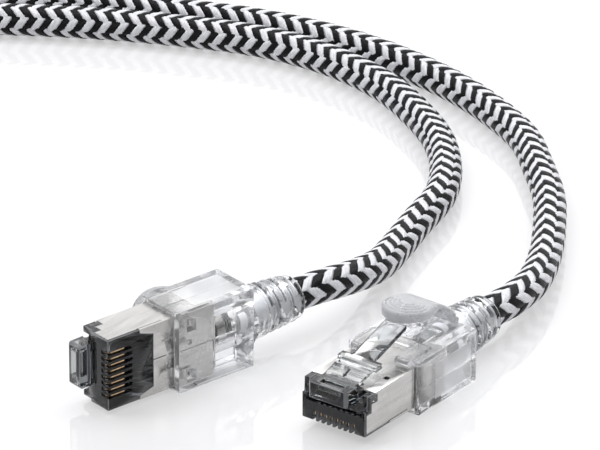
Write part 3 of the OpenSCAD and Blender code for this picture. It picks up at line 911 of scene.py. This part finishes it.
def ribbon(along_0, along_1, hand, index, share, steps_per_turn, across_points):
    """Vertices of one ribbon between two places on the cable, and its two shading attributes."""
    rings = int((along_1 - along_0) / MEAN_PITCH * steps_per_turn) + 1
    along = np.linspace(along_0, along_1, rings)[:, None]
    across = np.linspace(-1, 1, across_points)[None, :]
    slope = np.arctan2(2 * math.pi * OVER_R, pitch(along))
    wobble = np.sin(along * 410 + index * 2.1 + hand) + np.sin(along * 173 + index * 4.7)
    half = share * pitch(along) / RIBBONS * np.sin(slope) / 2 * (1 + 0.02 * wobble)
    place = along - hand * across * half * np.sin(slope)
    angle = (index * COLUMN + hand * np.interp(along, PHASE_STEPS, PHASE)
             + across * half * np.cos(slope) / OVER_R)
    phase = np.cos(4 * (angle - UP_APEX + COLUMN / 2)) * hand
    over = smooth(0.5 + phase * 1.1)
    radius = UNDER_R + (OVER_R - UNDER_R) * over + 0.00008 * (1 - across**2) + 0.00001 * wobble
    turned = angle + braid_turn(place)
    top = on_cable(np.clip(place, 0, CABLE_LENGTH), turned, radius)
    run = np.broadcast_to(along * 1750 + 31.7 * index + 5.3 * hand, top.shape[:2])
    return top, np.broadcast_to(across, top.shape[:2]), run


def braid_part(name, along_0, along_1, black, steps_per_turn, across_points, node):
    """All the black or all the white ribbons of a stretch of the cable, each a closed flat band."""
    vertices, faces, across, run, first = [], [], [], [], 0
    for hand in (1, -1):
        for index in range(RIBBONS):
            if (index % 2 == 0) != black:
                continue
            share = 1.02 if black else 1.1
            top, a, r = ribbon(along_0, along_1, hand, index, share, steps_per_turn, across_points)
            if hand < 0:
                top, a, r = top[:, ::-1], a[:, ::-1], r[:, ::-1]
            vertices.append(top.reshape(-1, 3))
            across.append(a.ravel())
            run.append(r.ravel())
            faces += grid_faces(len(top), across_points, first)
            first += top.shape[0] * across_points
    material = BLACK_RIBBON if black else WHITE_RIBBON
    piece = make_piece(name, np.concatenate(vertices), faces, material)
    for label, values in (("across", across), ("along", run)):
        attribute = piece.data.attributes.new(label, "FLOAT", "POINT")
        attribute.data.foreach_set("value", np.concatenate(values).astype(np.float32))
    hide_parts(node)
    return piece


def build_cable():
    sides = 20
    line = CENTRE_LINE[::5]
    along = np.linspace(0, CABLE_LENGTH, len(line))[:, None]
    angle = 2 * math.pi * np.arange(sides)[None, :] / sides
    shape = (len(line), sides)
    rings = on_cable(np.broadcast_to(along, shape), np.broadcast_to(angle, shape),
                     np.full(shape, CORE_R))
    core = make_piece("cable_core", rings.reshape(-1, 3), grid_faces(len(line), sides), CORE)
    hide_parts("cable_a", "cable_coil", "cable_b")
    stretches = {
        "cable_a": (0, LEG_A, 32, 5),
        "cable_coil": (LEG_A, CABLE_LENGTH - LEG_B, 20, 4),
        "cable_b": (CABLE_LENGTH - LEG_B, CABLE_LENGTH, 32, 5),
    }
    for node, (start, stop, steps, across_points) in stretches.items():
        for black in (True, False):
            name = node.replace("cable", "braid") + ("_black" if black else "_white")
            braid_part(name, start, stop, black, steps, across_points, node)


build_cable()

# ---- Plugs ----


PLATE_BACK_X, PLATE_BACK_Z = 6.6, 9.85
PLATE_FRONT_X, PLATE_FRONT_Z = 10.6, 8.61


def build_arrow(end):
    """Small raised arrow on the latch plate, pointing the way the plug is inserted."""
    outline = [(10.2, 0), (9.6, 0.42), (9.6, 0.14), (8.4, 0.14), (8.4, -0.14), (9.6, -0.14), (9.6, -0.42)]
    slope = (PLATE_FRONT_Z - PLATE_BACK_Z) / (PLATE_FRONT_X - PLATE_BACK_X)
    vertices = []
    for lift in (-0.05, 0.06):
        vertices += [plug_point(end, x, y, PLATE_BACK_Z + slope * (x - PLATE_BACK_X) + lift)
                     for x, y in outline]
    count = len(outline)
    faces = [tuple(range(count))[::-1], tuple(range(count, 2 * count))]
    faces += [(k, (k + 1) % count, (k + 1) % count + count, k + count) for k in range(count)]
    make_piece("latch_arrow_" + end, vertices, faces, SMOKE, node_body("latch_" + end))


LATCH_BLOCK_BACK = 10.9
LATCH_BLOCK_HALF_W = 3.7
LATCH_BLOCK_LOW = 6.1
FLAT_FACE = 0.97


def housing_tint(centre, normal):
    """Which smoke tint a housing face gets: rounded edges a lighter one, a painted highlight, and the
    latch's block a lighter one, painted light shining through it.
    """
    if max(abs(c) for c in normal) < FLAT_FACE and not in_comb(centre):
        return 2
    on_block = centre.x > LATCH_BLOCK_BACK and abs(centre.y) < LATCH_BLOCK_HALF_W
    return 1 if on_block and centre.z > LATCH_BLOCK_LOW else 0


def dress_plug(end):
    moulded("plug_housing_" + end, (SMOKE, SMOKE_ROOT_LIT, SMOKE_EDGE_HIGHLIGHT), 0.15, housing_tint)
    moulded("latch_" + end, (SMOKE_THIN,))
    moulded("shield_shell_" + end, (NICKEL,))
    moulded("cable_clamp_" + end, (NICKEL,))
    build_arrow(end)
    build_boot(end)
    build_guard(end)
    build_strain_relief(end)
    for i in range(1, 9):
        paint(f"contact_{i}_{end}", GOLD)
    for pair, material in WIRES.items():
        paint(f"wire_pair_{pair}_{end}", material)
    paint("load_bar_" + end, CLEAR)
    paint("cable_jacket_" + end, JACKET)
    paint("shield_braid_" + end, SCREEN)


# ---- Hook-and-loop tie round the coil ----

TIE_OUTLINE = [
    (15.9, 0.35), (26.0, 0.33), (36.5, 0.35), (37.2, 0.9), (37.25, 2.6), (36.9, 4.4), (34.4, 5.9),
    (31.0, 7.9), (27.4, 9.9), (24.2, 10.3), (21.2, 9.9), (18.6, 7.4), (16.5, 5.0), (15.75, 2.8), (15.7, 1.0),
]


TIE_HALF_W = 5.0
TIE_HALF_T = 0.3
LAP_HALF_T = 0.2


def tie_ring(radial, height, out, half_w, half_t, edge_points=7):
    """Cross-section of the band where it passes a point; out is the band's outward direction there."""
    direction = Vector((math.cos(TIE_ANGLE), math.sin(TIE_ANGLE), 0))
    sideways = Vector((-direction.y, direction.x, 0))
    points = []
    for side in (1, -1):
        for k in range(edge_points):
            across = side * (1 - 2 * k / (edge_points - 1))
            thin = 1 - 0.5 * abs(across) ** 6
            r = radial + out[0] * half_t * thin * side
            z = height + out[1] * half_t * thin * side
            offset = direction * r + sideways * across * half_w + Vector((0, 0, z))
            points.append(COIL_CENTRE + offset * MM)
    return points


def band(path, half_w, half_t, cyclic):
    """Flat band swept along a path of radial and height values."""
    rings = []
    for i, (r, z) in enumerate(path):
        ahead = path[(i + 1) % len(path)] if cyclic else path[min(i + 1, len(path) - 1)]
        behind = path[i - 1] if cyclic or i else path[0]
        along = Vector((ahead[0] - behind[0], ahead[1] - behind[1])).normalized()
        rings.append(tie_ring(r, z, (along.y, -along.x), half_w, half_t))
    return loft(rings, cyclic)


def build_tie():
    """Black woven strap closed round the turns, its end lapped over itself on top."""
    outline = through_points([(r, 0, z) for r, z in TIE_OUTLINE + TIE_OUTLINE[:1]], 5)
    path = [(p[0], p[2]) for p in outline][:-1]
    strap = band(path, TIE_HALF_W, TIE_HALF_T, True)
    lap = [(r, z + 0.34) for r, z in path if z > 9.2]
    flap = band(lap, TIE_HALF_W - 0.1, LAP_HALF_T, False)
    combine(strap, [flap], "UNION")
    mesh = strap.data
    mesh.materials.clear()
    mesh.materials.append(TIE)
    mesh.polygons.foreach_set("use_smooth", [True] * len(mesh.polygons))
    mesh.set_sharp_from_angle(angle=math.radians(40))
    strap.name = "coil_tie_band"
    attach(strap, BODY)
    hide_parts("coil_tie")


for plug_end in ENDS:
    dress_plug(plug_end)

build_tie()

# ---- Floor and light ----


def add_area_light(name, place, target, size, power):
    data = bpy.data.lights.new(name, "AREA")
    data.shape = "RECTANGLE"
    data.size, data.size_y = size
    data.energy = power
    lamp = bpy.data.objects.new(name, data)
    bpy.context.scene.collection.objects.link(lamp)
    lamp.location = place
    lamp.rotation_euler = (Vector(target) - Vector(place)).to_track_quat("-Z", "Y").to_euler()
    lamp.visible_camera = False
    return lamp


def studio_world():
    """Soft white surroundings, bright overhead and behind the cable, darker low on the viewer's side."""
    world = bpy.data.worlds.new("studio")
    world.use_nodes = True
    tree = world.node_tree
    place = tree.nodes.new("ShaderNodeTexCoord")
    dot = tree.nodes.new("ShaderNodeVectorMath")
    dot.operation = "DOT_PRODUCT"
    dot.inputs[1].default_value = (-0.45 * VIEW_SIDE.x, -0.45 * VIEW_SIDE.y, 0.9)
    shade = tree.nodes.new("ShaderNodeValToRGB")
    elements = shade.color_ramp.elements
    elements.new(0.3)
    elements.new(0.6)
    for element, position, grey in zip(elements, (0.0, 0.3, 0.6, 0.8), (0.03, 0.35, 0.75, 1.0)):
        element.position = position
        element.color = (grey, grey, grey * 1.01, 1)
    tree.links.new(place.outputs["Generated"], dot.inputs[0])
    tree.links.new(dot.outputs["Value"], shade.inputs["Fac"])
    tree.links.new(shade.outputs["Color"], tree.nodes["Background"].inputs["Color"])
    tree.nodes["Background"].inputs["Strength"].default_value = 1.3
    bpy.context.scene.world = world


def build_stage():
    floor_mesh = bpy.data.meshes.new("floor")
    reach, drop = 3.0, -0.00003
    floor_mesh.from_pydata(
        [(-reach, -reach, drop), (reach, -reach, drop), (reach, reach, drop), (-reach, reach, drop)],
        [], [(0, 1, 2, 3)],
    )
    floor_material = new_material("floor", (0.36, 0.36, 0.37), Roughness=0.04, IOR=1.5,
                                  Emission_Color=(1, 1, 1, 1), Emission_Strength=0.47)
    floor_mesh.materials.append(floor_material)
    floor = bpy.data.objects.new("floor", floor_mesh)
    bpy.context.scene.collection.objects.link(floor)
    studio_world()
    middle = Vector((-0.03, -0.05, 0))
    away = -VIEW_SIDE.normalized()
    across = Vector((-away.y, away.x, 0))
    add_area_light("top", middle + Vector((0, 0, 0.9)) + away * 0.35, middle, (1.0, 0.3), 4)
    add_area_light("side", middle + Vector((0, 0, 0.75)) + across * 0.6, middle, (0.3, 0.8), 2)


build_stage()
bpy.context.scene.view_settings.view_transform = "Standard"
